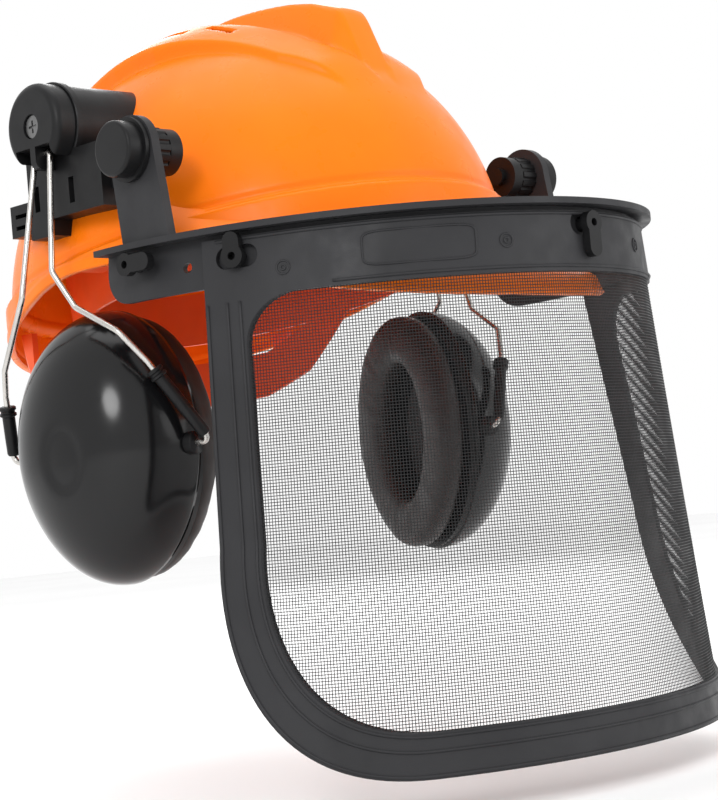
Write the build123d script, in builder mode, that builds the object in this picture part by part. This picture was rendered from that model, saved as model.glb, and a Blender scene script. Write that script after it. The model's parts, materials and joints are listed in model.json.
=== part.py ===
from build123d import *
import os
from math import cos, radians, sin

# Forestry safety helmet: a moulded shell with its suspension, two ear muffs on wire yokes,
# and a woven mesh visor on a tilting bracket. Millimetres. The origin lies on the middle
# plane, over the ear line, level with the top of the visor bracket's flange.
# +X is the wearer's left, -Y is the front, +Z is up.

os.makedirs("parts", exist_ok=True)

# ---- shell ---------------------------------------------------------------------------
dome_centre = (0, 70, -9)
dome_semi = (105, 126, 116)
dome_pitch = -16.4
wall = 3.0
band_proud = 3.0
gutter_side_z = 13.0
gutter_pitch = 8.0
ridge_half_width = 12.0
ridge_taper = 9.0
ridge_profile = [(-25, 58), (-22, 74), (-9, 104.5), (9, 111.5), (45, 117.5), (80, 117), (122, 101), (150, 70)]
rim_profile = [(-75, -18), (-15, -12), (25, -2), (75, -3), (150, -26), (205, -40)]
peak_slope = 32.0
peak_crown_radius = 165.0
peak_outline = (108, 180)
peak_outline_y = 68.0
vent_size = (5, 18)
vent_places = [(38, 36), (43, 62), (43, 88)]

# ---- suspension ----------------------------------------------------------------------
head_semi = (80, 99)
head_centre_y = 68.0
head_pitch = 8.0
band_height = (-12, 14)
band_thickness = 1.6
sweatband_thickness = 3.0
sweatband_height = (-19, 11)
sweatband_rear = -31.0
strap_width = 20.0
strap_rise = 78.0

# ---- accessory adapter, visor pivot and muff hub ---------------------------------------
hub_y, hub_z = 66.5, 59.3
shroud_radius = 18.4
shroud_face = 112.0
adapter_x = 112.0
clip_x = 108.0
pivot_y, pivot_z = 3.0, 37.3
pin_radius = 4.0
running_gap = 0.06
arm_x = (101.0, 107.0)
arm_z = (28.0, 41.0)
arm_end_y = 45.8
knob_x = (107.3, 116.2)

# ---- visor: a cone of ellipses, level by level -----------------------------------------
half_width = 120.0
half_depth = 145.0
visor_centre_y = 18.3
flare_per_mm = 0.00097
shorten_per_mm = 0.00066
lean_per_mm = 0.119
visor_bottom = -213.7
frame_top = -4.5
opening_top = -28.3
frame_thickness = 2.6
bracket_gap = 0.2
bracket_thickness = 2.6
bracket_rear = 27.0
bracket_bottom = -23.0
bracket_corner = 14.0
flange_thickness = 2.5
flange_proud = 5.0
upright_x = 116.5
upright_thickness = 4.0
eye_radius = 14.0
side_edge = [(-28, 0), (-39, -124)]
corner_centre = (-105, -123.7)
corner_semi = (66, 90)
border = (16, 17)

# ---- ear muffs -------------------------------------------------------------------------
cup_centre = (95, 60, -80)
cup_toe_in = 14.0
cup_semi = (41, 54.5, 37)
cup_wall = 2.5
boss_reach = 36.0
cushion_depth = (3.3, 18)
wire_radius = 1.3
wire_pivot_depth = 6.0
yoke_top_x = shroud_face + 5
yoke_top_z = 48.0
front_leg = [(yoke_top_x, 61.3, yoke_top_z), (125, 55.7, -4), (121, 47, -20), (116, 26.5, -32.5), (108, 19, -46)]
rear_leg = [(yoke_top_x, 71.7, yoke_top_z), (128, 74.4, -13), (124, 97, -41), (119, 105, -52)]
wire_bend = 5.0
yoke_top_bend = 2.2
yoke_end_bend = 3.0

sides = ((1, "left"), (-1, "right"))


def save(part, name):
    """Label a finished piece and write it as its own file."""
    part.label = name
    export_step(part, f"parts/{name}.step")


def ellipsoid(semi):
    """Solid ellipsoid at the origin."""
    with BuildPart(mode=Mode.PRIVATE) as ball:
        Sphere(1)
        scale(by=semi)
    return ball.part


def dome(grow):
    """The shell's egg-shaped body, grown all round."""
    semi = tuple(length + grow for length in dome_semi)
    return Location(dome_centre, (dome_pitch, 0, 0)) * ellipsoid(semi)


def below_gutter(grow):
    """The thicker band round the shell below its rain gutter."""
    plane = Plane(
        origin=(0, 0, gutter_side_z + grow),
        x_dir=(1, 0, 0),
        z_dir=(0, sin(radians(gutter_pitch)), cos(radians(gutter_pitch))),
    )
    with BuildPart(mode=Mode.PRIVATE) as band:
        add(dome(band_proud + grow))
        split(bisect_by=plane, keep=Keep.BOTTOM)
    return band.part


# ---- helmet shell ----------------------------------------------------------------------
slope = radians(peak_slope)
peak_plane = Plane(origin=(0, 10, 44.3), x_dir=(1, 0, 0), z_dir=(0, -cos(slope), -sin(slope)))

with BuildPart() as peak:
    with BuildSketch(peak_plane):
        with Locations((0, -peak_crown_radius)):
            Circle(peak_crown_radius)
            Circle(peak_crown_radius - wall, mode=Mode.SUBTRACT)
        Rectangle(230, 120, mode=Mode.INTERSECT)
    extrude(amount=155)
    with BuildSketch(Plane.XY.offset(-80)):
        with Locations((0, peak_outline_y)):
            Ellipse(*peak_outline)
    extrude(amount=150, mode=Mode.INTERSECT)

with BuildPart() as ridge:
    with BuildSketch(Plane.YZ):
        Polygon(*ridge_profile, (110, 55), (20, 45), align=None)
    extrude(amount=ridge_half_width, both=True, taper=ridge_taper)

with BuildPart() as shell:
    add(dome(0))
    add(below_gutter(0))
    add(ridge.part)
    with BuildSketch(Plane.YZ):
        with BuildLine():
            rim = Spline(*rim_profile)
            Polyline(rim @ 1, (205, 150), (-75, 150), rim @ 0)
        make_face()
    extrude(amount=120, both=True, mode=Mode.INTERSECT)
    add(dome(-wall), mode=Mode.SUBTRACT)
    for side_sign, side_name in sides:
        for vent_x, vent_y in vent_places:
            with Locations((side_sign * vent_x, vent_y, 96)):
                Box(*vent_size, 50, mode=Mode.SUBTRACT)
save(shell.part, "shell")

with BuildPart() as shell_peak:
    add(peak.part)
    add(dome(0), mode=Mode.SUBTRACT)
    add(below_gutter(0), mode=Mode.SUBTRACT)
save(shell_peak.part, "shell_peak")

# ---- suspension ------------------------------------------------------------------------
tilt = radians(head_pitch)
head_plane = Plane(origin=(0, head_centre_y, 0), x_dir=(1, 0, 0), z_dir=(0, sin(tilt), cos(tilt)))


def head_ring(outer_inset, thickness, low, high):
    """Oval tube round the head, between two heights."""
    with BuildPart(mode=Mode.PRIVATE) as ring:
        with BuildSketch(head_plane.offset(low)):
            Ellipse(head_semi[0] - outer_inset, head_semi[1] - outer_inset)
            inset = outer_inset + thickness
            Ellipse(head_semi[0] - inset, head_semi[1] - inset, mode=Mode.SUBTRACT)
        extrude(amount=high - low)
    return ring.part


save(head_ring(0, band_thickness, *band_height), "headband")

with BuildPart() as sweatband:
    add(head_ring(band_thickness + 0.3, sweatband_thickness, *sweatband_height))
    split(bisect_by=Plane(origin=head_plane.from_local_coords((0, sweatband_rear, 0)),
                          x_dir=(1, 0, 0), z_dir=head_plane.y_dir), keep=Keep.BOTTOM)
save(sweatband.part, "sweatband")

with BuildPart() as nape_strap:
    add(head_ring(0, band_thickness, -50, band_height[0]))
    with BuildSketch(Plane(origin=head_plane.origin, x_dir=head_plane.y_dir, z_dir=(1, 0, 0))):
        Polygon((24, -12), (46, -12), (66, -22), (110, -22), (110, -44), (70, -44), (50, -36), align=None)
    extrude(amount=120, both=True, mode=Mode.INTERSECT)
    for row in (-28, -38):
        for hole_x in range(-40, 41, 10):
            with Locations(head_plane.offset(row) * Location((hole_x, 90, 0), (90, 0, 0))):
                Cylinder(1.3, 60, mode=Mode.SUBTRACT)
save(nape_strap.part, "nape_strap")

with BuildPart() as nape_tabs:
    for side_sign, side_name in sides:
        with Locations((side_sign * 79, 143, -31)):
            Box(3, 13, 22)
        with Locations(Location((side_sign * 77, 143, -36), (0, 90, 0))):
            Cylinder(3.4, 3)
    add(dome(-wall - 0.1), mode=Mode.INTERSECT)
save(nape_tabs.part, "nape_tabs")

strap_start = band_height[1]
with BuildPart() as crown_straps:
    with BuildSketch(Plane(origin=head_plane.origin, x_dir=(1, 0, 0), z_dir=head_plane.y_dir * -1)):
        Ellipse(head_semi[0] + 2, strap_rise)
        Ellipse(head_semi[0] + 0.4, strap_rise - 1.6, mode=Mode.SUBTRACT)
        with Locations((0, 100 + strap_start)):
            Rectangle(200, 200, mode=Mode.INTERSECT)
    extrude(amount=strap_width / 2, both=True)
    with BuildSketch(Plane(origin=head_plane.origin, x_dir=head_plane.y_dir, z_dir=(1, 0, 0))):
        Ellipse(head_semi[1] + 2, strap_rise)
        Ellipse(head_semi[1] + 0.4, strap_rise - 1.6, mode=Mode.SUBTRACT)
        with Locations((0, 100 + strap_start)):
            Rectangle(240, 200, mode=Mode.INTERSECT)
    extrude(amount=strap_width / 2, both=True)
save(crown_straps.part, "crown_straps")

with BuildPart() as suspension_lugs:
    for angle in (0, 90, 180, 270):
        reach = head_semi[0] if angle % 180 == 0 else head_semi[1]
        spot = Location((reach * cos(radians(angle)), reach * sin(radians(angle)), 7), (0, 0, angle))
        with Locations(head_plane.location * spot * Location((15, 0, 0))):
            Box(30, 24, 11)
    add(dome(-wall - 0.1), mode=Mode.INTERSECT)
save(suspension_lugs.part, "suspension_lugs")

# ---- accessory adapters ------------------------------------------------------------------
for side_sign, side_name in sides:
    with BuildPart() as slot_adapter:
        with Locations((side_sign * (adapter_x - 15), 60, 34.5)):
            Box(30, 52, 27)
        with Locations((side_sign * (adapter_x - 15), 78, 22)):
            Box(30, 16, 16)
        with Locations((side_sign * (clip_x - 8), 95, 25)):
            Box(16, 22, 14)
        with Locations(Location((side_sign * (shroud_face - 30), hub_y, hub_z), (0, 90, 0))):
            Cylinder(shroud_radius, 60)
        with Locations((side_sign * sum(arm_x) / 2, (arm_end_y + 20) / 2, sum(arm_z) / 2)):
            Box(arm_x[1] - arm_x[0] + 0.2, arm_end_y - 20 + 0.2, arm_z[1] - arm_z[0] + 0.2, mode=Mode.SUBTRACT)
        with Locations(Location((side_sign * (shroud_face - 6), hub_y, hub_z), (0, 90, 0))):
            Cylinder(5 + running_gap, 14, mode=Mode.SUBTRACT)
        for groove_y in (55, 80):
            with Locations((side_sign * adapter_x, groove_y, 31)):
                Box(5, 3.6, 11, mode=Mode.SUBTRACT)
        for slit_z in (22, 27):
            with Locations((side_sign * clip_x, 98, slit_z)):
                Box(10, 9, 1.8, mode=Mode.SUBTRACT)
        add(dome(0.04), mode=Mode.SUBTRACT)
        add(below_gutter(0.04), mode=Mode.SUBTRACT)
    save(slot_adapter.part, f"slot_adapter_{side_name}")

    def along_x(x_from, x_to):
        """Placement and length of a round feature on the visor's pivot axis."""
        middle = side_sign * (x_from + x_to) / 2
        return Location((middle, pivot_y, pivot_z), (0, 90, 0)), x_to - x_from

    with BuildPart() as visor_arm:
        with Locations((side_sign * sum(arm_x) / 2, (pivot_y + arm_end_y) / 2, sum(arm_z) / 2)):
            Box(arm_x[1] - arm_x[0], arm_end_y - pivot_y, arm_z[1] - arm_z[0])
        place, length = along_x(*arm_x)
        with Locations(place):
            Cylinder(9.5, length)
            Cylinder(pin_radius + 0.02, length, mode=Mode.SUBTRACT)
    save(visor_arm.part, f"visor_arm_{side_name}")

    with BuildPart() as pivot_bolt:
        for radius, x_from, x_to in ((pin_radius, 98, 121), (13, 120.8, 122.8), (11.3, 122.8, 130)):
            place, length = along_x(x_from, x_to)
            with Locations(place):
                Cylinder(radius, length)
        rims = pivot_bolt.edges().filter_by(GeomType.CIRCLE).sort_by(Axis.X)
        fillet(rims[-1] if side_sign > 0 else rims[0], 1.4)
    save(pivot_bolt.part, f"pivot_bolt_{side_name}")

    with BuildPart() as pivot_knob:
        place, length = along_x(*knob_x)
        with Locations(place):
            Cylinder(9.8, length)
            with PolarLocations(10.4, 14):
                Cylinder(1.3, length, mode=Mode.SUBTRACT)
            Cylinder(pin_radius + 0.02, length, mode=Mode.SUBTRACT)
    save(pivot_knob.part, f"pivot_knob_{side_name}")


# ---- visor -------------------------------------------------------------------------------
def visor_level(z, offset):
    """Half width, half depth and centre of the visor's oval at one height."""
    across = half_width * (1 - flare_per_mm * z) + offset
    deep = half_depth * (1 + shorten_per_mm * z) + offset
    return across, deep, visor_centre_y + lean_per_mm * z


def visor_cone(offset, top, bottom):
    """Solid inside the visor's surface, moved out or in by an offset."""
    with BuildPart(mode=Mode.PRIVATE) as cone:
        for z in (bottom, top):
            across, deep, middle_y = visor_level(z, offset)
            with BuildSketch(Plane.XY.offset(z)):
                with Locations((0, middle_y)):
                    Ellipse(across, deep)
        loft(ruled=True)
    return cone.part


def visor_place(turn, z, offset=0.0):
    """Plane on the visor's surface, with its normal pointing straight out."""
    across, deep, middle_y = visor_level(z, offset)
    angle = radians(turn)
    normal = Vector(sin(angle) / across, -cos(angle) / deep, 0).normalized()
    spot = (across * sin(angle), middle_y - deep * cos(angle), z)
    return Plane(origin=spot, x_dir=Vector(0, 0, 1).cross(normal), z_dir=normal)


def side_prism(inset_y, inset_z, top, corner):
    """Visor's outline as seen from the side, inset all round, as a solid right across the visor."""
    (edge_y0, edge_z0), (edge_y1, edge_z1) = side_edge
    lean = (edge_y1 - edge_y0) / (edge_z1 - edge_z0)
    top_y = edge_y0 + lean * top - inset_y
    arc_y, arc_z = corner_centre
    semi_y, semi_z = corner_semi[0] - inset_y, corner_semi[1] - inset_z
    quarter = 0.5523
    with BuildPart(mode=Mode.PRIVATE) as prism:
        with BuildSketch(Plane.YZ.offset(-170)) as outline:
            with BuildLine():
                Bezier(
                    (arc_y, arc_z - semi_z),
                    (arc_y + quarter * semi_y, arc_z - semi_z),
                    (arc_y + semi_y, arc_z - quarter * semi_z),
                    (arc_y + semi_y, arc_z),
                )
                Polyline(
                    (arc_y + semi_y, arc_z),
                    (top_y, top),
                    (-170, top),
                    (-170, arc_z - semi_z),
                    (arc_y, arc_z - semi_z),
                )
            make_face()
            if corner:
                fillet(outline.vertices().sort_by_distance((top_y, top))[0], corner)
        extrude(amount=340)
    return prism.part


side_turn, side_z = 65.2, -12.4
centre_z = -9.6
rear_y, rear_z = 7.0, -8.5
rear_turn = 90.0 - 4.5
spare_turn, spare_z = 75.2, -13.3

with BuildPart() as visor_bracket:
    add(visor_cone(-frame_thickness - bracket_gap, -flange_thickness, bracket_bottom))
    inner = visor_cone(-frame_thickness - bracket_gap - bracket_thickness, -flange_thickness, bracket_bottom)
    add(inner, mode=Mode.SUBTRACT)
    with BuildSketch(Plane.YZ) as bracket_side:
        Polygon((bracket_rear, 5), (bracket_rear, bracket_bottom), (-150, bracket_bottom), (-150, 5), align=None)
        fillet(bracket_side.vertices().sort_by_distance((bracket_rear, bracket_bottom))[0], bracket_corner)
    extrude(amount=150, both=True, mode=Mode.INTERSECT)
    with BuildSketch(Plane.XY.offset(-flange_thickness)):
        across, deep, middle_y = visor_level(0, 0)
        skirt = frame_thickness + bracket_gap + bracket_thickness
        with Locations((0, middle_y)):
            Ellipse(across + flange_proud, deep + flange_proud)
            Ellipse(across - skirt, deep - skirt, mode=Mode.SUBTRACT)
        with Locations((0, bracket_rear - 100)):
            Rectangle(400, 200, mode=Mode.INTERSECT)
    extrude(amount=flange_thickness)
    for side_sign, side_name in sides:
        near = min(side_sign * upright_x, side_sign * (upright_x + upright_thickness))
        with BuildSketch(Plane.YZ.offset(near)):
            Polygon((-16.5, -1.5), (12.5, -1.5), (pivot_y + eye_radius, pivot_z),
                    (pivot_y - eye_radius, pivot_z), align=None)
            with Locations((pivot_y, pivot_z)):
                Circle(eye_radius)
                Circle(pin_radius + running_gap, mode=Mode.SUBTRACT)
        extrude(amount=upright_thickness)
        for turn, z in ((side_turn, side_z), (rear_turn, rear_z)):
            with Locations(visor_place(side_sign * turn, z)):
                Cylinder(3 + running_gap, 30, mode=Mode.SUBTRACT)
        with Locations(visor_place(side_sign * spare_turn, spare_z)):
            Cylinder(2.1, 30, mode=Mode.SUBTRACT)
    with Locations(visor_place(0, centre_z)):
        Cylinder(3 + running_gap, 30, mode=Mode.SUBTRACT)
save(visor_bracket.part, "visor_bracket")

with BuildPart() as visor_frame:
    add(visor_cone(0, frame_top, visor_bottom))
    add(visor_cone(-frame_thickness, frame_top, visor_bottom), mode=Mode.SUBTRACT)
    add(side_prism(0, 0, frame_top + 1, 0), mode=Mode.INTERSECT)
    add(side_prism(*border, opening_top, 18), mode=Mode.SUBTRACT)
    for turn, z in ((side_turn, side_z), (-side_turn, side_z), (0, centre_z)):
        with BuildSketch(visor_place(turn, z)):
            SlotOverall(18, 9)
        extrude(amount=8, both=True, mode=Mode.SUBTRACT)
save(visor_frame.part, "visor_frame")

with BuildPart() as visor_mesh:
    add(visor_cone(-0.9, frame_top, visor_bottom))
    add(visor_cone(-1.7, frame_top, visor_bottom), mode=Mode.SUBTRACT)
    add(side_prism(*border, opening_top, 18), mode=Mode.INTERSECT)
save(visor_mesh.part, "visor_mesh")


def turn_latch(plane, reach, heading, standoff):
    """Quarter-turn latch: a retained pin with a finger that points along its heading."""
    with BuildPart(mode=Mode.PRIVATE) as latch:
        with BuildSketch(plane.offset(-7.8)):
            Circle(3)
        extrude(amount=7.8 + standoff)
        with BuildSketch(plane.offset(-7.8)):
            Circle(4.8)
        extrude(amount=1.8)
        with BuildSketch(plane.offset(standoff)):
            with Locations(Location((0, 0, 0), (0, 0, heading))):
                SlotCenterPoint((reach / 2 - 1.75, 0), (reach - 3.5, 0), 7)
            Circle(4.6)
        extrude(amount=3.4)
        with BuildSketch(plane.offset(standoff + 3.4)):
            Circle(1.6)
        extrude(amount=-4, mode=Mode.SUBTRACT)
    return latch.part


save(turn_latch(visor_place(0, centre_z), 13.5, -90, 0.8), "latch_centre")
for side_sign, side_name in sides:
    save(turn_latch(visor_place(side_sign * side_turn, side_z), 9.4, 90, 0.8), f"latch_side_{side_name}")
    forward = 180 if side_sign > 0 else 0
    rear_plane = visor_place(side_sign * rear_turn, rear_z)
    save(turn_latch(rear_plane, 14, forward, 2.4), f"latch_rear_{side_name}")

# ---- ear muffs ----------------------------------------------------------------------------
toe_in = radians(cup_toe_in)
for side_sign, side_name in sides:
    outward = Vector(side_sign * cos(toe_in), -sin(toe_in), 0)
    rearward = Vector(side_sign * sin(toe_in), cos(toe_in), 0)
    centre = Vector(side_sign * cup_centre[0], cup_centre[1], cup_centre[2])
    cup_plane = Plane(origin=centre, x_dir=rearward, z_dir=outward)

    with BuildPart() as muff_hub:
        with BuildSketch(Plane.YZ.offset(side_sign * (shroud_face + 0.3))):
            with Locations((hub_y, hub_z)):
                Circle(shroud_radius)
        extrude(amount=side_sign * 9.7)
        rims = muff_hub.edges().filter_by(GeomType.CIRCLE).sort_by(Axis.X)
        fillet(rims[-1] if side_sign > 0 else rims[0], 3.5)
        with BuildSketch(Plane.YZ.offset(side_sign * (shroud_face + 0.3))):
            with Locations((hub_y, hub_z)):
                Circle(5)
        extrude(amount=-side_sign * 12)
        with BuildSketch(Plane.YZ.offset(side_sign * (shroud_face + 0.3))):
            with Locations((hub_y, hub_z - 17.4)):
                Rectangle(24, 17)
                Rectangle(3.6, 17, mode=Mode.SUBTRACT)
        extrude(amount=side_sign * 12, mode=Mode.SUBTRACT)
        with Locations(Location((side_sign * yoke_top_x, hub_y, yoke_top_z), (90, 0, 0))):
            Cylinder(wire_radius + running_gap, 12, mode=Mode.SUBTRACT)
        with Locations(Location((side_sign * (shroud_face + 9), hub_y, hub_z), (0, 90, 0))):
            Cylinder(5.2, 4, mode=Mode.SUBTRACT)
    save(muff_hub.part, f"muff_hub_{side_name}")

    with BuildPart() as hub_screw:
        with Locations(Location((side_sign * (shroud_face + 8), hub_y, hub_z), (0, 90, 0))):
            Cylinder(4.8, 2)
        with Locations((side_sign * (shroud_face + 9), hub_y, hub_z)):
            Box(1.6, 1.1, 5.4, mode=Mode.SUBTRACT)
            Box(1.6, 5.4, 1.1, mode=Mode.SUBTRACT)
    save(hub_screw.part, f"hub_screw_{side_name}")

    def on_pivot(distance):
        """A point on the cup's tilt axis, this far behind the middle of the cup."""
        return centre + outward * wire_pivot_depth + rearward * distance

    def mirrored(points):
        """The route's points on this side of the helmet."""
        return [Vector(side_sign * x, y, z) for x, y, z in points]

    front_points = mirrored(front_leg) + [on_pivot(-53)]
    rear_points = mirrored(rear_leg) + [on_pivot(53)]
    route = [on_pivot(-38)] + front_points[::-1] + rear_points + [on_pivot(38)]
    with BuildPart() as wire_yoke:
        with BuildLine() as yoke_line:
            front_bends = [yoke_end_bend] + [wire_bend] * (len(front_leg) - 1) + [yoke_top_bend]
            rear_bends = [yoke_top_bend] + [wire_bend] * (len(rear_leg) - 1) + [yoke_end_bend]
            FilletPolyline(*route, radius=front_bends + rear_bends)
        start = yoke_line.line
        with BuildSketch(Plane(origin=start @ 0, z_dir=start % 0)):
            Circle(wire_radius)
        sweep(path=yoke_line.line)
    save(wire_yoke.part, f"wire_yoke_{side_name}")

    with BuildPart() as wire_sleeves:
        for points, start_share, end_share in ((front_points, 0.16, 0.88), (rear_points, 0.14, 0.86)):
            upper, lower = points[-2], points[-1]
            heading = (lower - upper).normalized()
            sleeve_length = (lower - upper).length * (end_share - start_share)
            sleeve_plane = Plane(origin=upper + (lower - upper) * start_share, z_dir=heading)
            with BuildSketch(sleeve_plane):
                Circle(3.1)
            extrude(amount=sleeve_length)
            for collar in (0, 3.2):
                with BuildSketch(sleeve_plane.offset(collar)):
                    Circle(4.2)
                extrude(amount=1.6)
            with BuildSketch(sleeve_plane):
                Circle(wire_radius + 0.02)
            extrude(amount=sleeve_length, mode=Mode.SUBTRACT)
    save(wire_sleeves.part, f"wire_sleeves_{side_name}")

    cup_outside = cup_plane.location * ellipsoid(cup_semi)
    cup_inside = cup_plane.location * ellipsoid(tuple(length - cup_wall for length in cup_semi))
    with BuildPart() as ear_cup:
        add(cup_outside)
        split(bisect_by=cup_plane, keep=Keep.TOP)
        for end in (-1, 1):
            boss_plane = Plane(origin=on_pivot(end * boss_reach), x_dir=(0, 0, 1), z_dir=rearward * end)
            with BuildSketch(boss_plane):
                Circle(5)
            extrude(amount=10)
        add(cup_inside, mode=Mode.SUBTRACT)
        with BuildSketch(Plane(origin=on_pivot(-60), x_dir=(0, 0, 1), z_dir=rearward)):
            Circle(wire_radius + running_gap)
        extrude(amount=120, mode=Mode.SUBTRACT)
    save(ear_cup.part, f"ear_cup_{side_name}")

    with BuildPart() as cup_plate:
        with BuildSketch(cup_plane):
            Ellipse(cup_semi[0] + 1, cup_semi[1] + 1)
            Ellipse(19, 29, mode=Mode.SUBTRACT)
        extrude(amount=-3)
    save(cup_plate.part, f"cup_plate_{side_name}")

    with BuildPart() as foam_liner:
        with BuildSketch(cup_plane.offset(0.3)):
            Ellipse(28, 40)
        extrude(amount=18)
    save(foam_liner.part, f"foam_liner_{side_name}")

    with BuildPart() as ear_cushion:
        with BuildSketch(cup_plane.offset(-cushion_depth[0])):
            Ellipse(cup_semi[0] + 1, cup_semi[1] + 1)
            Ellipse(20, 30, mode=Mode.SUBTRACT)
        extrude(amount=cushion_depth[0] - cushion_depth[1])
        inner_face = ear_cushion.faces().sort_by(Axis(centre, outward))[0]
        fillet(inner_face.edges(), 5)
    save(ear_cushion.part, f"ear_cushion_{side_name}")
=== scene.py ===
import json
import math

import bpy
import numpy as np
from mathutils import Matrix, Vector, noise


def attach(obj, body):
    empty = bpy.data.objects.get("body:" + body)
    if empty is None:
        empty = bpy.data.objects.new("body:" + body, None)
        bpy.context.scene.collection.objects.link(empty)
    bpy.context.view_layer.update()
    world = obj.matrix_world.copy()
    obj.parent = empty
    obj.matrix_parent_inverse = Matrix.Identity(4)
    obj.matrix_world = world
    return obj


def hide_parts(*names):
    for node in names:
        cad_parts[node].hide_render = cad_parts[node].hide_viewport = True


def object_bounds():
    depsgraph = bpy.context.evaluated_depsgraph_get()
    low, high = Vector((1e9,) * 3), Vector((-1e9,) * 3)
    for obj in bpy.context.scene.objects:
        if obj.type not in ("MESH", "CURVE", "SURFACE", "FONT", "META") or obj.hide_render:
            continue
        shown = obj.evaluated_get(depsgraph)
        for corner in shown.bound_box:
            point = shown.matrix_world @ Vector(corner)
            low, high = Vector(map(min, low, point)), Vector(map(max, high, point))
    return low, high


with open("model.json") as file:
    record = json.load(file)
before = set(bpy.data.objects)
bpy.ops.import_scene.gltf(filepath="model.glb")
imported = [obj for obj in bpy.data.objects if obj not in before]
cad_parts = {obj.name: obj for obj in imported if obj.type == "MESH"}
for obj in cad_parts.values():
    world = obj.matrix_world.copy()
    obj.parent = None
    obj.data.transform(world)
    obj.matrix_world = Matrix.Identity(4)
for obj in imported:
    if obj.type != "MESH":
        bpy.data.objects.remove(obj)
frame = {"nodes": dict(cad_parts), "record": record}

# Safety helmet with ear muffs and a mesh visor. Lengths below are in millimetres, as in the
# design, and MM turns them into the frame's metres.
MM = 0.001
cad_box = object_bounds()
SIDES = ((1, "left"), (-1, "right"))

# ---- the design's own dimensions ---------------------------------------------------------
DOME_CENTRE = np.array([0.0, 70.0, -9.0])
DOME_SEMI = np.array([105.0, 126.0, 116.0])
DOME_PITCH = math.radians(-16.4)
BAND_PROUD = 3.0
GUTTER_Z = 13.0
GUTTER_PITCH = math.radians(8.0)
RIM = np.array([(-75, -18), (-15, -12), (25, -2), (75, -3), (150, -26), (205, -40)], float)
RIDGE = np.array([(-27, 56), (-22, 74), (-9, 104.5), (9, 111.2), (25, 114.6), (45, 116.9), (62, 117.4),
                  (80, 116.6), (100, 111.5), (122, 101), (150, 70)], float)
RIDGE_HALF = 7.5
RIDGE_SIDE = 2.6
PEAK_START = (10.0, 44.3)
PEAK_SLOPE = math.radians(32.0)
PEAK_RADIUS = 165.0
PEAK_OUTLINE = (108.0, 180.0, 68.0)
PEAK_LIP = 5.5
PEAK_DROOP = 3.0
PEAK_WALL = (99.0, 116.0)
PEAK_TURN = 74
PEAK_THICKNESS = 2.6
VENTS = [(38, 36), (43, 62), (43, 88)]
VENT_HALF = (2.3, 8.5)
VENT_LOWEST = 40
SHELL_WALL = 3.0
GROOVE_DEPTH, GROOVE_LEVEL, GROOVE_WIDTH = 0.8, 2.6, 1.3
RIM_BEAD = 0.7

VISOR_WIDTH, VISOR_DEPTH, VISOR_Y = 120.0, 145.0, 18.3
FLARE, SHORTEN, LEAN = 0.00097, 0.00066, 0.119
OPENING_TOP = -28.3
SIDE_EDGE = ((-28.0, 0.0), (-39.0, -124.0))
CORNER_CENTRE = (-105.0, -123.7)
CORNER_SEMI = (66.0, 90.0)
BORDER = (16.0, 17.0)

CUP_CENTRE = (95.0, 60.0, -80.0)
CUP_SEMI = (41.0, 54.5, 37.0)
CUP_RAISE = 1.8
CUP_TALLER = 1.03
CUP_WALL = 2.2
CUSHION_RING = (30.0, 43.3)
CUSHION_OUT = -10.7
TOE_IN = math.radians(14.0)

HEAD_SEMI = (80.0, 99.0)
HEAD_Y = 68.0
HEAD_PITCH = math.radians(8.0)
SWEATBAND_END = 31.0
SWEATBAND_HALF = 14.6


# ---- mesh helpers --------------------------------------------------------------------------
def make_object(name, verts, faces, smooth=True):
    """A mesh object from points in millimetres."""
    mesh = bpy.data.meshes.new(name)
    mesh.from_pydata([tuple(v) for v in np.asarray(verts) * MM], [], faces)
    mesh.validate()
    mesh.update()
    if smooth:
        mesh.polygons.foreach_set("use_smooth", [True] * len(mesh.polygons))
    obj = bpy.data.objects.new(name, mesh)
    bpy.context.scene.collection.objects.link(obj)
    return obj


def grid_faces(rows, columns, closed=False, offset=0, skip=None):
    """Quads over a grid of points; closed joins the last column to the first."""
    faces = []
    last = columns if closed else columns - 1
    for r in range(rows - 1):
        for c in range(last):
            if skip is not None and skip[r, c]:
                continue
            d = (c + 1) % columns
            a = offset + r * columns
            b = a + columns
            faces.append((a + c, a + d, b + d, b + c))
    return faces


def apply_modifiers(obj):
    """Turn the modifiers on an object into its mesh."""
    depsgraph = bpy.context.evaluated_depsgraph_get()
    mesh = bpy.data.meshes.new_from_object(obj.evaluated_get(depsgraph))
    obj.modifiers.clear()
    obj.data = mesh


def solidify(obj, thickness, offset=-1.0):
    modifier = obj.modifiers.new("wall", "SOLIDIFY")
    modifier.thickness = thickness * MM
    modifier.offset = offset
    apply_modifiers(obj)


def tube(path, radius, sides=8, closed=False):
    """Points and faces of a round tube along a path; the radius may change from point to point."""
    path = np.asarray(path, float)
    count = len(path)
    radii = np.broadcast_to(radius, count)
    verts, faces = [], []
    normal = None
    for i in range(count):
        if closed:
            ahead = path[(i + 1) % count] - path[i - 1]
        else:
            ahead = path[min(i + 1, count - 1)] - path[max(i - 1, 0)]
        ahead = ahead / np.linalg.norm(ahead)
        if normal is None:
            guess = np.array([0, 0, 1.0]) if abs(ahead[2]) < 0.9 else np.array([1.0, 0, 0])
            normal = np.cross(ahead, guess)
        normal = normal - ahead * np.dot(normal, ahead)
        normal = normal / np.linalg.norm(normal)
        side = np.cross(ahead, normal)
        for k in range(sides):
            angle = 2 * math.pi * k / sides
            verts.append(path[i] + radii[i] * (math.cos(angle) * normal + math.sin(angle) * side))
    rings = count if closed else count - 1
    for i in range(rings):
        j = (i + 1) % count
        for k in range(sides):
            m = (k + 1) % sides
            faces.append((i * sides + k, i * sides + m, j * sides + m, j * sides + k))
    if not closed:
        faces.append(tuple(range(sides))[::-1])
        faces.append(tuple((count - 1) * sides + k for k in range(sides)))
    return verts, faces


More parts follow.
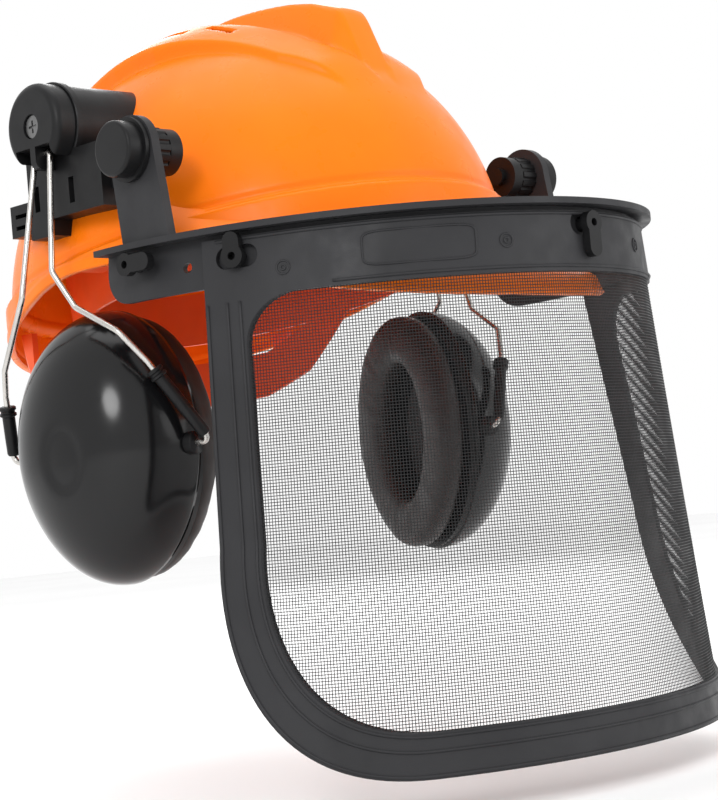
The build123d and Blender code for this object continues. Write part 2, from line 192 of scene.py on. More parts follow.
def joined(parts):
    """Several sets of points and faces as one set."""
    verts, faces = [], []
    for v, f in parts:
        start = len(verts)
        verts.extend(v)
        faces.extend(tuple(i + start for i in face) for face in f)
    return verts, faces


def smoothstep(low, high, value):
    t = np.clip((value - low) / (high - low), 0, 1)
    return t * t * (3 - 2 * t)


# ---- materials -----------------------------------------------------------------------------
def new_material(name, colour, roughness, metallic=0.0, coat=0.0, specular=0.5, sheen=0.0, subsurface=0.0):
    material = bpy.data.materials.new(name)
    material.use_nodes = True
    shader = material.node_tree.nodes["Principled BSDF"]
    shader.inputs["Base Color"].default_value = (*colour, 1)
    shader.inputs["Roughness"].default_value = roughness
    shader.inputs["Metallic"].default_value = metallic
    shader.inputs["Coat Weight"].default_value = coat
    shader.inputs["Coat Roughness"].default_value = 0.08
    shader.inputs["Specular IOR Level"].default_value = specular
    shader.inputs["Sheen Weight"].default_value = sheen
    shader.inputs["Subsurface Weight"].default_value = subsurface
    shader.inputs["Subsurface Scale"].default_value = 0.004
    return material


def link_noise(material, scale, detail, stretch=(1, 1, 1)):
    """A noise texture on object coordinates; returns its factor socket."""
    nodes, links = material.node_tree.nodes, material.node_tree.links
    coords = nodes.new("ShaderNodeTexCoord")
    mapping = nodes.new("ShaderNodeMapping")
    mapping.inputs["Scale"].default_value = stretch
    texture = nodes.new("ShaderNodeTexNoise")
    texture.inputs["Scale"].default_value = scale
    texture.inputs["Detail"].default_value = detail
    links.new(coords.outputs["Object"], mapping.inputs["Vector"])
    links.new(mapping.outputs["Vector"], texture.inputs["Vector"])
    return texture.outputs["Fac"]


def ramp(material, factor, low, high, start=0.35, end=0.65):
    """Two colours or greys mixed by a factor."""
    node = material.node_tree.nodes.new("ShaderNodeValToRGB")
    node.color_ramp.elements[0].position = start
    node.color_ramp.elements[1].position = end
    node.color_ramp.elements[0].color = low
    node.color_ramp.elements[1].color = high
    material.node_tree.links.new(factor, node.inputs["Fac"])
    return node.outputs["Color"]


def add_bump(material, height, strength, distance):
    nodes, links = material.node_tree.nodes, material.node_tree.links
    shader = nodes["Principled BSDF"]
    bump = nodes.new("ShaderNodeBump")
    bump.inputs["Strength"].default_value = strength
    bump.inputs["Distance"].default_value = distance
    links.new(height, bump.inputs["Height"])
    if shader.inputs["Normal"].is_linked:
        links.new(shader.inputs["Normal"].links[0].from_socket, bump.inputs["Normal"])
    links.new(bump.outputs["Normal"], shader.inputs["Normal"])


def moulded(name, colour, roughness, variation=0.12, grain=0.15, grain_scale=2600, **more):
    """Moulded plastic: faint colour drift, uneven gloss and fine grain."""
    material = new_material(name, colour, roughness, **more)
    links = material.node_tree.links
    shader = material.node_tree.nodes["Principled BSDF"]
    drift = link_noise(material, 28, 3)
    dark = tuple(c * (1 - variation) for c in colour) + (1,)
    light = tuple(min(c * (1 + variation), 1) for c in colour) + (1,)
    links.new(ramp(material, drift, dark, light), shader.inputs["Base Color"])
    gloss = link_noise(material, 90, 4)
    low, high = roughness * 0.82, min(roughness * 1.18, 1)
    links.new(ramp(material, gloss, (low,) * 3 + (1,), (high,) * 3 + (1,)), shader.inputs["Roughness"])
    add_bump(material, link_noise(material, grain_scale, 2), grain, 0.0001)
    return material


def steel(name, colour, roughness):
    """Drawn wire: long faint scratches."""
    material = new_material(name, colour, roughness, metallic=1.0)
    links = material.node_tree.links
    shader = material.node_tree.nodes["Principled BSDF"]
    scratch = link_noise(material, 900, 3, (1, 1, 0.06))
    links.new(ramp(material, scratch, (roughness * 0.7,) * 3 + (1,), (roughness * 1.4,) * 3 + (1,)),
              shader.inputs["Roughness"])
    tint = link_noise(material, 60, 2)
    dark = tuple(c * 0.86 for c in colour) + (1,)
    links.new(ramp(material, tint, dark, (*colour, 1)), shader.inputs["Base Color"])
    add_bump(material, scratch, 0.12, 0.0001)
    return material


def woven(name, colour, pitch, sheen=0.3):
    """Woven or knitted cloth: crossed threads from two sets of bands."""
    material = new_material(name, colour, 0.85, sheen=sheen)
    nodes, links = material.node_tree.nodes, material.node_tree.links
    shader = nodes["Principled BSDF"]
    coords = nodes.new("ShaderNodeTexCoord")
    heights = []
    for direction in ("X", "Z"):
        wave = nodes.new("ShaderNodeTexWave")
        wave.bands_direction = direction
        wave.inputs["Scale"].default_value = 0.31 / pitch
        wave.inputs["Distortion"].default_value = 1.2
        wave.inputs["Detail Scale"].default_value = 3
        links.new(coords.outputs["Object"], wave.inputs["Vector"])
        heights.append(wave.outputs["Fac"])
    both = nodes.new("ShaderNodeMath")
    both.operation = "MULTIPLY"
    links.new(heights[0], both.inputs[0])
    links.new(heights[1], both.inputs[1])
    dark = tuple(c * 0.55 for c in colour) + (1,)
    light = tuple(min(c * 1.35, 1) for c in colour) + (1,)
    links.new(ramp(material, both.outputs[0], dark, light, 0.1, 0.8), shader.inputs["Base Color"])
    add_bump(material, both.outputs[0], 0.5, 0.0003)
    return material


ORANGE = moulded("shell_orange", (0.96, 0.190, 0.004), 0.32, 0.03, 0.05, 1400, specular=0.14, subsurface=0.04)
STRAP_ORANGE = moulded("strap_orange", (0.86, 0.10, 0.015), 0.42, 0.08, 0.10, 1800, subsurface=0.1)
VISOR_GREY = moulded("visor_grey", (0.025, 0.025, 0.027), 0.50, 0.10, 0.35, 2200, specular=0.22)
ADAPTER_BLACK = moulded("adapter_black", (0.0075, 0.0075, 0.008), 0.40, 0.15, 0.30, 1900, specular=0.22)
CUP_BLACK = moulded("cup_black", (0.005, 0.005, 0.0055), 0.16, 0.10, 0.02, 900, coat=0.06, specular=0.32)
MESH_BLACK = moulded("mesh_black", (0.022, 0.022, 0.023), 0.55, 0.15, 0.10, 3000, metallic=0.3)
WIRE = steel("wire_steel", (0.62, 0.60, 0.57), 0.27)
SCREW = steel("screw_steel", (0.22, 0.22, 0.22), 0.35)
NAVY = woven("sweat_pad", (0.012, 0.014, 0.030), 0.0009)
WEBBING = woven("webbing", (0.022, 0.022, 0.026), 0.0012)
FOAM = moulded("foam", (0.035, 0.035, 0.036), 0.95, 0.3, 0.9, 1300)
VINYL = moulded("cushion_vinyl", (0.017, 0.012, 0.011), 0.48, 0.15, 0.40, 1500)

SLOT_MATERIALS = {
    "shell_orange": ORANGE, "strap_orange": STRAP_ORANGE, "visor_grey": VISOR_GREY,
    "adapter_black": ADAPTER_BLACK, "cup_black": CUP_BLACK, "mesh_black": MESH_BLACK,
    "wire_steel": WIRE, "screw_steel": SCREW, "sweat_pad": NAVY, "webbing": WEBBING,
    "foam": FOAM, "cushion_vinyl": VINYL, "lug_plastic": STRAP_ORANGE,
}

# Every CAD node gets its slot's material.
for entry in frame["record"]["subparts"]:
    node = frame["nodes"][entry["node"]]
    material = SLOT_MATERIALS[entry["material_slot"]]
    if not node.material_slots:
        node.data.materials.append(material)
    for place in node.material_slots:
        place.material = material


def finish_piece(obj, body, slot, *nodes):
    """Material, body and the CAD nodes that a piece stands for."""
    obj.data.materials.clear()
    obj.data.materials.append(SLOT_MATERIALS[slot])
    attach(obj, body)
    if nodes:
        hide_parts(*nodes)
    return obj


# ---- helmet shell ----------------------------------------------------------------------------
def pitched(local):
    """From the dome's own axes to the helmet's."""
    c, s = math.cos(DOME_PITCH), math.sin(DOME_PITCH)
    x, y, z = local[..., 0], local[..., 1], local[..., 2]
    return np.stack([x, y * c - z * s, y * s + z * c], axis=-1)


def dome_points(alpha, beta, grow=0.0):
    """Points and outward normals of the dome."""
    unit = np.stack([np.cos(alpha) * np.cos(beta), np.sin(alpha) * np.cos(beta), np.sin(beta)], axis=-1)
    points = pitched(unit * (DOME_SEMI + grow)) + DOME_CENTRE
    normals = pitched(unit / DOME_SEMI)
    return points, normals / np.linalg.norm(normals, axis=-1, keepdims=True)


def rim_height(y):
    total = 0
    for shift in np.linspace(-16, 16, 9):
        total = total + np.interp(y + shift, RIM[:, 0], RIM[:, 1])
    return total / 9


def ridge_height(y):
    """Top of the ridge: a tight corner at the front, a long smooth back."""
    reach = 2.5 + 15 * smoothstep(14, 40, y)
    total = 0
    for share in np.linspace(-1, 1, 9):
        total = total + np.interp(y + share * reach, RIDGE[:, 0], RIDGE[:, 1], left=-99, right=-99)
    return total / 9


def rib(x, y):
    """How far the raised band beside the ridge, which carries the vents, stands out."""
    middle = np.interp(y, (-24, 0, 36, 62, 90, 125), (15, 29, 38, 43, 43, 40))
    across = smoothstep(12.0, 9.0, np.abs(np.abs(x) - middle))
    height = 3.0 + 4.2 * smoothstep(0, 70, y)
    return height * across * smoothstep(-30, -12, y) * smoothstep(140, 118, y)


def make_shell():
    columns, rows = 540, 210
    alpha = np.linspace(0, 2 * math.pi, columns, endpoint=False)
    low, high = np.full(columns, -1.1), np.full(columns, 1.0)
    for _ in range(40):
        beta = (low + high) / 2
        points, _normals = dome_points(alpha, beta, BAND_PROUD)
        above = points[:, 2] > rim_height(points[:, 1])
        high = np.where(above, beta, high)
        low = np.where(above, low, beta)
    share = np.linspace(0, 1, rows)[:, None]
    beta = high[None, :] + (math.pi / 2 - 0.004 - high[None, :]) * share
    alpha = np.broadcast_to(alpha, beta.shape)
    points, normals = dome_points(alpha, beta)
    x, y, z = points[..., 0], points[..., 1], points[..., 2]
    level = y * math.sin(GUTTER_PITCH) + (z - GUTTER_Z) * math.cos(GUTTER_PITCH)
    over_rim = z - rim_height(y)
    push = BAND_PROUD * smoothstep(0.9, -0.9, level)
    push = push - GROOVE_DEPTH * np.exp(-(((level - GROOVE_LEVEL) / GROOVE_WIDTH) ** 2))
    push = push + RIM_BEAD * smoothstep(5.5, 4.5, over_rim)
    push = push + rib(x, y) * smoothstep(30, 60, z)
    points = points + normals * push[..., None]
    x, y, z = points[..., 0], points[..., 1], points[..., 2]
    ridge = ridge_height(y) - 0.012 * x ** 2 - RIDGE_SIDE * np.clip(np.abs(x) - RIDGE_HALF, 0, None)
    blend = 2.2
    higher = np.maximum(z, ridge)
    softened = higher + blend * 0.35 * np.exp(-np.abs(z - ridge) / blend)
    lifted = np.where(ridge > z - 6, softened, z)
    points[..., 2] = np.where(ridge > -50, lifted, z)
    centre_x = (points[..., 0] + np.roll(points[..., 0], -1, axis=1)) / 2
    centre_y = points[..., 1]
    skip = np.zeros(points.shape[:2], bool)
    for vent_x, vent_y in VENTS:
        across = np.abs(np.abs(centre_x) - vent_x) < VENT_HALF[0]
        along = np.abs(centre_y - vent_y) < VENT_HALF[1]
        skip |= across & along & (points[..., 2] > VENT_LOWEST)
    verts = list(points.reshape(-1, 3))
    faces = grid_faces(rows, columns, closed=True, skip=skip)
    faces.append(tuple((rows - 1) * columns + c for c in range(columns)))
    shell = make_object("shell_skin", verts, faces)
    solidify(shell, SHELL_WALL)
    return shell


def peak_height(x, y):
    """Top face of the peak above a point of its plan."""
    sagitta = PEAK_RADIUS - np.sqrt(PEAK_RADIUS ** 2 - x ** 2)
    along = (PEAK_START[0] - y + sagitta * math.sin(PEAK_SLOPE)) / math.cos(PEAK_SLOPE)
    return PEAK_START[1] - along * math.sin(PEAK_SLOPE) - sagitta * math.cos(PEAK_SLOPE)


def make_peak():
    columns, rows = 181, 36
    semi_x, semi_y, middle = PEAK_OUTLINE
    turn = np.radians(np.linspace(-PEAK_TURN, PEAK_TURN, columns))
    edge = np.stack([(semi_x - 1) * np.sin(turn), middle - (semi_y - 1) * np.cos(turn)], axis=-1)
    wall = np.stack([PEAK_WALL[0] * np.sin(turn), middle - PEAK_WALL[1] * np.cos(turn)], axis=-1)
    share = np.linspace(0, 1, rows)[:, None, None]
    plan = wall[None] + (edge - wall)[None] * share
    x, y = plan[..., 0], plan[..., 1]
    across = share[..., 0]
    rolled_lip = PEAK_LIP * smoothstep(0.93, 1.0, across)
    bead = 0.9 * smoothstep(0.90, 0.94, across)
    z = peak_height(x, y) + bead - rolled_lip - PEAK_DROOP * across * (x / semi_x) ** 2
    verts = np.stack([x, y, z], axis=-1).reshape(-1, 3)
    peak = make_object("peak_skin", verts, grid_faces(rows, columns))
    solidify(peak, PEAK_THICKNESS)
    return peak


finish_piece(make_shell(), "helmet", "shell_orange", "shell")
finish_piece(make_peak(), "helmet", "shell_orange", "shell_peak")


# ---- visor -----------------------------------------------------------------------------------
def visor_level(z, offset=0.0):
    across = VISOR_WIDTH * (1 - FLARE * z) + offset
    deep = VISOR_DEPTH * (1 + SHORTEN * z) + offset
    return across, deep, VISOR_Y + LEAN * z


def visor_point(turn, z, offset=0.0):
    across, deep, middle = visor_level(z, offset)
    return np.array([across * math.sin(turn), middle - deep * math.cos(turn), z])


def edge_y(z, inset_y, inset_z):
    """Rear edge of the visor's outline at one height, inset all round."""
    (y0, z0), (y1, z1) = SIDE_EDGE
    if z >= CORNER_CENTRE[1]:
        share = (z - z1) / (z0 - z1)
        return y1 + (y0 - y1) * share - inset_y
    semi_y, semi_z = CORNER_SEMI[0] - inset_y, CORNER_SEMI[1] - inset_z
    drop = min((CORNER_CENTRE[1] - z) / semi_z, 1)
    return CORNER_CENTRE[0] + semi_y * math.sqrt(1 - drop * drop)


def edge_turn(z, inset_y, inset_z):
    """The same edge as an angle round the visor."""
    _across, deep, middle = visor_level(z)
    return math.acos(max(-1, min(1, (middle - edge_y(z, inset_y, inset_z)) / deep)))


def corner_trim(z):
    """How much the opening's rounded upper corners take off, in millimetres of y."""
    radius = 18.0
    drop = OPENING_TOP - z
    if drop >= radius:
        return 0.0
    return radius - math.sqrt(radius ** 2 - (radius - drop) ** 2)


def opening_turn(z):
    return edge_turn(z, BORDER[0] + corner_trim(z), BORDER[1])


MESH_PITCH = 1.2
MESH_WIRE = 0.15
MESH_OFFSET = -1.3
MESH_MIDDLE_Z = -110.0
EGG = 0.075
opening_bottom = CORNER_CENTRE[1] - CORNER_SEMI[1] + BORDER[1]


def square_wire(path, normals, radius):
    """A thin four-sided wire along a path."""
    path, normals = np.asarray(path), np.asarray(normals)
    ahead = np.gradient(path, axis=0)
    ahead /= np.linalg.norm(ahead, axis=1, keepdims=True)
    side = np.cross(ahead, normals)
    ring = np.stack([path + normals * radius, path + side * radius,
                     path - normals * radius, path - side * radius], axis=1)
    verts = list(ring.reshape(-1, 3))
    faces = []
    for i in range(len(path) - 1):
        for k in range(4):
            m = (k + 1) % 4
            faces.append((i * 4 + k, i * 4 + m, i * 4 + 4 + m, i * 4 + 4 + k))
    return verts, faces


def outward(turn, z):
    across, deep, _middle = visor_level(z)
    normal = np.array([math.sin(turn) / across, -math.cos(turn) / deep, 0])
    return normal / np.linalg.norm(normal)


def make_visor_mesh():
    parts = []
    levels = np.arange(OPENING_TOP - 0.3, opening_bottom, -MESH_PITCH)
    for z in levels:
        limit = opening_turn(z)
        turns = np.linspace(-limit - 0.004, limit + 0.004, 64)
        path = [visor_point(t, z, MESH_OFFSET + 0.08) for t in turns]
        parts.append(square_wire(path, [outward(t, z) for t in turns], MESH_WIRE))
    samples = np.linspace(OPENING_TOP, opening_bottom, 500)
    sample_limits = np.array([opening_turn(z) for z in samples])
    widest = sample_limits.max()
    turns = [0.0]
    while turns[-1] < widest:
        across, deep, _middle = visor_level(MESH_MIDDLE_Z)
        t = turns[-1]
        step = MESH_PITCH / math.hypot(across * math.cos(t), deep * math.sin(t))
        turns.append(t + step)
    for t in turns:
        inside = samples[sample_limits >= t]
        if len(inside) < 2:
            continue
        for sign in ((1,) if t == 0 else (1, -1)):
            ends = [visor_point(sign * t, z, MESH_OFFSET - 0.08) for z in (inside[0] + 0.4, inside[-1] - 0.4)]
            normal = outward(sign * t, MESH_MIDDLE_Z)
            parts.append(square_wire(ends, [normal, normal], MESH_WIRE))
    verts, faces = joined(parts)
    return make_object("visor_weave", verts, faces, smooth=False)


finish_piece(make_visor_mesh(), "visor", "mesh_black", "visor_mesh")


def outline_path(inset_y, inset_z, top, lift, first=1.0):
    """A line on the visor's face that keeps one distance from its edge, from side to side."""
    bottom = CORNER_CENTRE[1] - CORNER_SEMI[1] + inset_z
    heights = list(np.linspace(top, CORNER_CENTRE[1], 30))
    corner_drop = CORNER_CENTRE[1] - bottom
    heights += [CORNER_CENTRE[1] - corner_drop * math.sin(a) for a in np.linspace(0.05, math.pi / 2, 40)]
    half = [(edge_turn(z, inset_y, inset_z), z) for z in heights]
    last = half[-1][0]
    half += [(t, bottom) for t in np.linspace(last, 0, 30)[1:]]
    whole = [(-t, z) for t, z in half] + [(t, z) for t, z in half[::-1][1:]]
    return [visor_point(t, z, lift) for t, z in whole]


beads = []
for inset in (1.2, 9.5, 14.6):
    beads.append(tube(outline_path(inset, inset * 1.06, -30.0, 0.12), 0.6, 6))
beads.append(tube([visor_point(t, -5.6, 0.12) for t in np.linspace(-1.2, 1.2, 80)], 0.7, 6))
beads.append(tube([visor_point(t, OPENING_TOP + 2.0, 0.12) for t in np.linspace(-0.86, 0.86, 80)], 0.6, 6))
verts, faces = joined(beads)
finish_piece(make_object("frame_beads", verts, faces), "visor", "visor_grey")


def surface_loop(turn, z, half_across, half_up, corner_power, count=48):
    """A closed line on the visor's face round a small area."""
    across, deep, _middle = visor_level(z)
    per_radian = math.hypot(across * math.cos(turn), deep * math.sin(turn))
    points = []
    for k in range(count):
        a = 2 * math.pi * k / count
        u = math.copysign(abs(math.cos(a)) ** corner_power, math.cos(a)) * half_across
        v = math.copysign(abs(math.sin(a)) ** corner_power, math.sin(a)) * half_up
        points.append(visor_point(turn + u / per_radian, z + v, 0.1))
    return points


marks = [tube(surface_loop(-0.60, -15.5, 22, 6.5, 0.3, 90), 0.45, 6, closed=True)]
for turn, z in ((-0.33, -16), (0.33, -16), (-1.0, -19), (1.0, -19)):
    marks.append(tube(surface_loop(turn, z, 2.6, 2.6, 1.0, 28), 0.4, 6, closed=True))
    marks.append(tube(surface_loop(turn, z, 1.0, 1.0, 1.0, 16), 0.4, 6, closed=True))
verts, faces = joined(marks)
finish_piece(make_object("frame_marks", verts, faces), "visor", "visor_grey")


# ---- ear muffs ---------------------------------------------------------------------------------
def cup_axes(sign):
    out = np.array([sign * math.cos(TOE_IN), -math.sin(TOE_IN), 0])
    back = np.array([sign * math.sin(TOE_IN), math.cos(TOE_IN), 0])
    middle = np.array([sign * CUP_CENTRE[0], CUP_CENTRE[1], CUP_CENTRE[2]])
    return middle, out, back


def cup_space(sign, back_mm, up_mm, out_mm):
    middle, out, back = cup_axes(sign)
    up = np.array([0, 0, 1.0])
    return (middle + back_mm[..., None] * back + up_mm[..., None] * up + out_mm[..., None] * out)


def raised(up_mm):
    """The muff's soft outline is a little taller than its plate, most of it at the top."""
    return up_mm * CUP_TALLER + CUP_RAISE


def make_cup(sign, name):
    """The hard cup. Its wall is added on the outside of the surface built here."""
    columns, rows = 128, 44
    around = np.linspace(0, 2 * math.pi, columns, endpoint=False)[None, :]
    over = np.linspace(0.02, math.pi / 2, rows)[:, None]
    reach = np.sin(over) ** 0.92
    height = np.cos(over) ** 0.94
    egg = 1 - EGG * np.clip(-np.sin(around), 0, 1) ** 1.5
    back = CUP_SEMI[0] * reach * np.cos(around) * egg
    up = CUP_SEMI[1] * reach * np.sin(around)
    out = (CUP_SEMI[2] - 1) * height * np.ones_like(around)
    dish = np.exp(-((back / 12) ** 2 + ((up + 4) / 17) ** 2))
    out = out - 1.1 * smoothstep(0.35, 0.75, dish)
    points = cup_space(sign, back, raised(up), out)
    verts = list(points.reshape(-1, 3))
    faces = grid_faces(rows, columns, closed=True)
    faces.append(tuple(range(columns))[::-1])
    if sign < 0:
        faces = [f[::-1] for f in faces]
    shell = make_object(f"cup_skin_{name}", verts, faces)
    solidify(shell, CUP_WALL)
    return shell


def ring_path(sign, semi_back, semi_up, out, count=96):
    a = np.linspace(0, 2 * math.pi, count, endpoint=False)
    egg = 1 - EGG * np.clip(-np.sin(a), 0, 1) ** 1.5
    return cup_space(sign, semi_back * np.cos(a) * egg, raised(semi_up * np.sin(a)), np.full(count, out))


def make_cup_trim(sign, name):
    parts = [tube(ring_path(sign, CUP_SEMI[0], CUP_SEMI[1], 0.6), 1.1, 8, closed=True)]
    for end in (-1, 1):
        start = cup_space(sign, np.array([end * 37.0]), np.array([0.0]), np.array([6.0]))[0]
        stop = cup_space(sign, np.array([end * 45.7]), np.array([0.0]), np.array([6.0]))[0]
        path = [start + (stop - start) * s for s in (0, 0.6, 0.86, 0.97, 1.0)]
        boss_verts, boss_faces = tube(path, 4.8, 20)
        parts.append((boss_verts, boss_faces))
    verts, faces = joined(parts)
    return make_object(f"cup_trim_{name}", verts, faces)


def make_cushion(sign, name):
    """Stuffed ring: a fat rounded section with seams and small wrinkles."""
    columns, rows = 200, 40
    around = np.linspace(0, 2 * math.pi, columns, endpoint=False)[None, :]
    section = np.linspace(0, 2 * math.pi, rows, endpoint=False)[:, None]
    half_wide, half_deep = 11.3, 7.2
    power = 0.72
    cs = np.sign(np.cos(section)) * np.abs(np.cos(section)) ** power
    ss = np.sign(np.sin(section)) * np.abs(np.sin(section)) ** power
    wrinkle = np.zeros((rows, columns))
    for r in range(rows):
        for c in range(columns):
            a = around[0, c]
            spot = Vector((math.cos(a) * 9, math.sin(a) * 9, section[r, 0] * 0.9))
            wrinkle[r, c] = noise.noise(spot) * 0.55 + noise.noise(spot * 2.7) * 0.2
    seam = -0.7 * np.exp(-((np.angle(np.exp(1j * (section - 1.35))) / 0.10) ** 2))
    grow = wrinkle * 0.5 + seam
    wide, deep = (half_wide + grow) * cs, (half_deep + grow) * ss
    egg = 1 - EGG * np.clip(-np.sin(around), 0, 1) ** 1.5
    back = (CUSHION_RING[0] + wide) * np.cos(around) * egg
    up = (CUSHION_RING[1] + wide) * np.sin(around)
    out = CUSHION_OUT + deep
    points = cup_space(sign, back, raised(up), out)
    verts = list(points.reshape(-1, 3))
    faces = grid_faces(rows, columns, closed=True)
    top = (rows - 1) * columns
    faces += [(top + c, top + (c + 1) % columns, (c + 1) % columns, c) for c in range(columns)]
    if sign < 0:
        faces = [f[::-1] for f in faces]
    return make_object(f"cushion_{name}", verts, faces)


WIRE_PIVOT_OUT = 6.0
SLEEVE_RADIUS = 2.8
LEG_ENDS = {"front": ((108.0, 19.0, -46.0), -53.0), "rear": ((119.0, 105.0, -52.0), 53.0)}


def make_sleeves(sign, name):
    """Moulded sleeves on the wire's two ends, each with a pair of collars at its top."""
    parts = []
    for (x, y, z), back in LEG_ENDS.values():
        top = np.array([sign * x, y, z])
        end = cup_space(sign, np.array([back]), np.array([0.0]), np.array([WIRE_PIVOT_OUT]))[0]
        length = np.linalg.norm(end - top)
        collars = [(3.6, 1.5), (3.7, 3.2), (4.1, 3.7), (5.1, 3.7), (5.5, 3.1), (6.4, 3.1),
                   (6.8, 3.7), (7.7, 3.7)]
        barrel = [(8.2, SLEEVE_RADIUS), (length * 0.6, SLEEVE_RADIUS), (length - 4.5, 2.7)]
        profile = collars + barrel + [(length - 3.6, 2.3), (length - 3.4, 1.4)]
        heading = (end - top) / length
        parts.append(tube([top + heading * along for along, _r in profile], [r for _a, r in profile], 24))
    verts, faces = joined(parts)
    sleeves = make_object(f"sleeve_skin_{name}", verts, faces)
    sleeves.data.set_sharp_from_angle(angle=math.radians(40))
    return sleeves


HUB_Y, HUB_Z = 66.5, 59.3
SHROUD_RADIUS, SHROUD_FACE = 18.4, 112.0


def make_shroud_rim(sign, name):
    """Raised lip over the top of the shroud, just behind the muff's hub."""
    inner, outer = SHROUD_RADIUS - 0.6, SHROUD_RADIUS + 1.1
    section = [(-3.4, inner), (-3.2, outer), (-0.5, outer), (-0.1, outer - 0.4), (-0.1, inner)]
    turns = np.radians(np.linspace(-62, 148, 90))
    verts = []
    for turn in turns:
        for depth, radius in section:
            y = HUB_Y - radius * math.sin(turn)
            z = HUB_Z + radius * math.cos(turn)
            verts.append((sign * (SHROUD_FACE + depth), y, z))
    count = len(section)
    faces = grid_faces(len(turns), count, closed=True)
    faces.append(tuple(range(count))[::-1])
    faces.append(tuple((len(turns) - 1) * count + k for k in range(count)))
    rim = make_object(f"shroud_rim_{name}", verts, faces)
    rim.data.set_sharp_from_angle(angle=math.radians(40))
    return rim


for side_sign, side_name in SIDES:
    sleeves = make_sleeves(side_sign, side_name)
    finish_piece(sleeves, f"yoke_{side_name}", "adapter_black", f"wire_sleeves_{side_name}")
    finish_piece(make_shroud_rim(side_sign, side_name), "helmet", "adapter_black")
    cup_body = f"cup_{side_name}"
    finish_piece(make_cup(side_sign, side_name), cup_body, "cup_black", f"ear_cup_{side_name}")
    finish_piece(make_cup_trim(side_sign, side_name), cup_body, "adapter_black")
    cushion = make_cushion(side_sign, side_name)
    finish_piece(cushion, cup_body, "cushion_vinyl", f"ear_cushion_{side_name}")


# ---- sweatband ------------------------------------------------------------------------------------
def head_space(turn, inset, height):
    """A point on the head's oval, pitched with the headband."""
    x = (HEAD_SEMI[0] - inset) * math.sin(turn)
    y = -(HEAD_SEMI[1] - inset) * math.cos(turn)
    c, s = math.cos(HEAD_PITCH), math.sin(HEAD_PITCH)
    return (x, HEAD_Y + y * c + height * s, -y * s + height * c)


def make_sweatband():
    """A thin quilted pad along the front of the headband."""
    columns, rows = 240, 28
    end = math.acos(SWEATBAND_END / (HEAD_SEMI[1] - 3))
    verts = []
    for r in range(rows):
        section = 2 * math.pi * r / rows
        for c in range(columns):
            share = c / (columns - 1)
            turn = -end + 2 * end * share
            ends = min(1.0, 8 * min(share, 1 - share) + 0.55)
            quilt = 0.25 * abs(math.sin(share * math.pi * 16))
            cs = math.copysign(abs(math.cos(section)) ** 0.5, math.cos(section))
            ss = math.copysign(abs(math.sin(section)) ** 0.35, math.sin(section))
            height = -4.0 + SWEATBAND_HALF * ss * (0.9 + 0.1 * ends)
            inset = 3.5 + (1.25 + quilt * 0.5) * cs * ends
            verts.append(head_space(turn, inset, height))
    faces = grid_faces(rows, columns)
    top = (rows - 1) * columns
    faces += [(top + c, top + c + 1, c + 1, c) for c in range(columns - 1)]
    faces.append(tuple(r * columns for r in range(rows)))
    faces.append(tuple(r * columns + columns - 1 for r in range(rows))[::-1])
    return make_object("sweat_pad", verts, faces)


sweat_pad = finish_piece(make_sweatband(), "helmet", "sweat_pad", "sweatband")

# ---- softened edges on the moulded CAD parts ------------------------------------------------------
for node_name, node in frame["nodes"].items():
    if node_name.startswith(("slot_adapter", "visor_arm", "visor_bracket", "visor_frame", "latch", "muff_hub",
                             "pivot_knob", "pivot_bolt", "cup_plate", "headband", "nape")):
        bevel = node.modifiers.new("soft_edges", "BEVEL")
        bevel.width = 0.35 * MM
        bevel.segments = 2
        bevel.limit_method = "ANGLE"
        bevel.angle_limit = math.radians(40)
        bevel.harden_normals = False

# ---- camera, light and floor ------------------------------------------------------------------------
FOCAL_LENGTH = 90.35
CAMERA_AZIMUTH, CAMERA_ELEVATION, CAMERA_ROLL = (math.radians(a) for a in (-44.4, -2.931, -5.191))
CAMERA_TARGET = Vector((8.026, 17.229, -65.162)) * MM
CAMERA_DISTANCE = 894.972 * MM


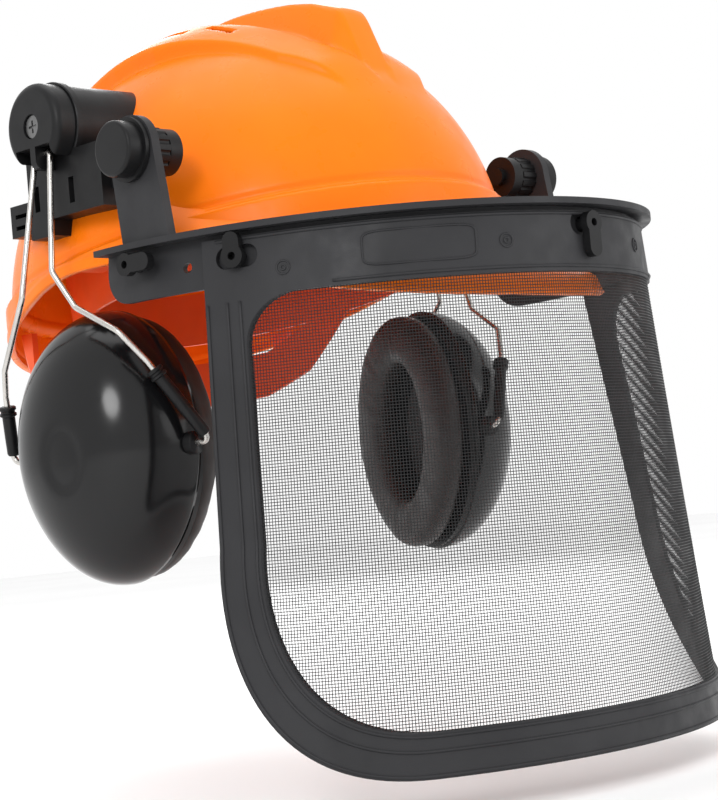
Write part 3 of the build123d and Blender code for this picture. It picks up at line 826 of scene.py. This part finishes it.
def place_camera():
    """A camera at the stated angles, aimed at its target."""
    a, e, r = CAMERA_AZIMUTH, CAMERA_ELEVATION, CAMERA_ROLL
    back = Vector((math.sin(a) * math.cos(e), -math.cos(a) * math.cos(e), math.sin(e)))
    right = Vector((0, 0, 1)).cross(back).normalized()
    up = back.cross(right)
    right, up = right * math.cos(r) + up * math.sin(r), up * math.cos(r) - right * math.sin(r)
    data = bpy.data.cameras.new("camera")
    data.lens = FOCAL_LENGTH
    data.sensor_width = 36
    data.clip_start = 0.01
    camera = bpy.data.objects.new("camera", data)
    camera.matrix_world = Matrix.Translation(CAMERA_TARGET + back * CAMERA_DISTANCE) @ Matrix(
        (right, up, back)).transposed().to_4x4()
    bpy.context.scene.collection.objects.link(camera)
    bpy.context.scene.camera = camera


def area_light(name, place, aim, size, power):
    data = bpy.data.lights.new(name, "AREA")
    data.shape = "ELLIPSE"
    data.size, data.size_y = size
    data.energy = power
    light = bpy.data.objects.new(name, data)
    light.location = place
    light.rotation_euler = (Vector(aim) - Vector(place)).to_track_quat("-Z", "Y").to_euler()
    bpy.context.scene.collection.objects.link(light)


place_camera()
area_light("key", (-1.9, -1.1, 0.95), (0, 0, 0), (0.75, 0.75), 17)
area_light("fill", (0.9, -1.9, 0.5), (0, 0, -0.05), (1.6, 1.2), 9)
area_light("top", (0.1, 0.3, 2.0), (0, 0, 0), (1.8, 1.8), 11)
area_light("rim", (1.2, 1.6, 0.9), (0, 0, 0), (1.0, 1.0), 10)

world = bpy.data.worlds.new("studio")
world.use_nodes = True
world.node_tree.nodes["Background"].inputs["Color"].default_value = (1, 1, 1, 1)
world.node_tree.nodes["Background"].inputs["Strength"].default_value = 1.0
bpy.context.scene.world = world
bpy.context.scene.view_settings.view_transform = "Standard"

floor_z = cad_box[0][2] / MM - 14
floor = make_object("floor", [(-4000, -4000, floor_z), (4000, -4000, floor_z), (4000, 4000, floor_z),
                              (-4000, 4000, floor_z)], [(0, 1, 2, 3)], smooth=False)
pale = new_material("pale_floor", (0.93, 0.93, 0.93), 0.7)
pale.node_tree.links.new(ramp(pale, link_noise(pale, 3, 2), (0.92, 0.92, 0.92, 1), (0.95, 0.95, 0.95, 1)),
                         pale.node_tree.nodes["Principled BSDF"].inputs["Base Color"])
floor.data.materials.append(pale)
